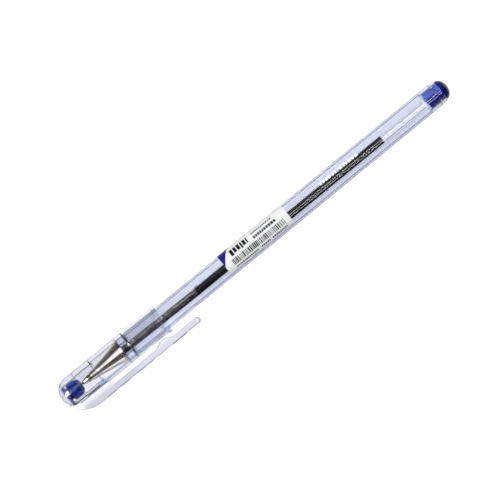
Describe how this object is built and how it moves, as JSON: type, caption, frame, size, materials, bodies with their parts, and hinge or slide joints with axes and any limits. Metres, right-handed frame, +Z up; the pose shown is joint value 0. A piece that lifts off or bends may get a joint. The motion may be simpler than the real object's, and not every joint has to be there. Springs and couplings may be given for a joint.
{
  "type": "capped ballpoint pen",
  "caption": "Clear stick ballpoint with a round barrel, metal nose cone, plastic refill, domed end plug and a push-on cap with a pocket clip.",
  "frame": {"origin": "centre of the writing ball", "axes": "+X along the pen from the writing point to the tail, +Z up, the pocket clip points along -Y"},
  "size_m": [0.1491, 0.0132, 0.0102],
  "materials": {
    "barrel_clear": "clear polystyrene with a faint blue tint",
    "label_white": null,
    "plug_blue": "translucent blue moulding",
    "cap_clear": "clear polystyrene",
    "seal_blue": "translucent blue moulding",
    "tube_clear": "clear polypropylene",
    "ink": "dark oil-based ink",
    "point_metal": "nickel silver",
    "ball_metal": "polished tungsten carbide",
    "cone_plated": "bright nickel plating"
  },
  "bodies": {
    "barrel": {"barrel": "barrel_clear", "label": "label_white", "nose_cone": "cone_plated", "refill_tube": "tube_clear", "ink_column": "ink", "tip_socket": "point_metal"},
    "cap": {"cap_shell": "cap_clear", "cap_seal": "seal_blue"},
    "plug": {"end_plug": "plug_blue"},
    "ball": {"writing_ball": "ball_metal"}
  },
  "joints": [
    {"name": "cap_slide", "type": "slide", "parent": "barrel", "child": "cap", "axis": [-1, 0, 0], "range_m": [0, 0.04]},
    {"name": "plug_pull", "type": "slide", "parent": "barrel", "child": "plug", "axis": [1, 0, 0], "range_m": [0, 0.012]},
    {"name": "ball_roll", "type": "hinge", "parent": "barrel", "child": "ball", "pos_m": [0, 0, 0], "axis": [0, 1, 0], "continuous": true}
  ]
}
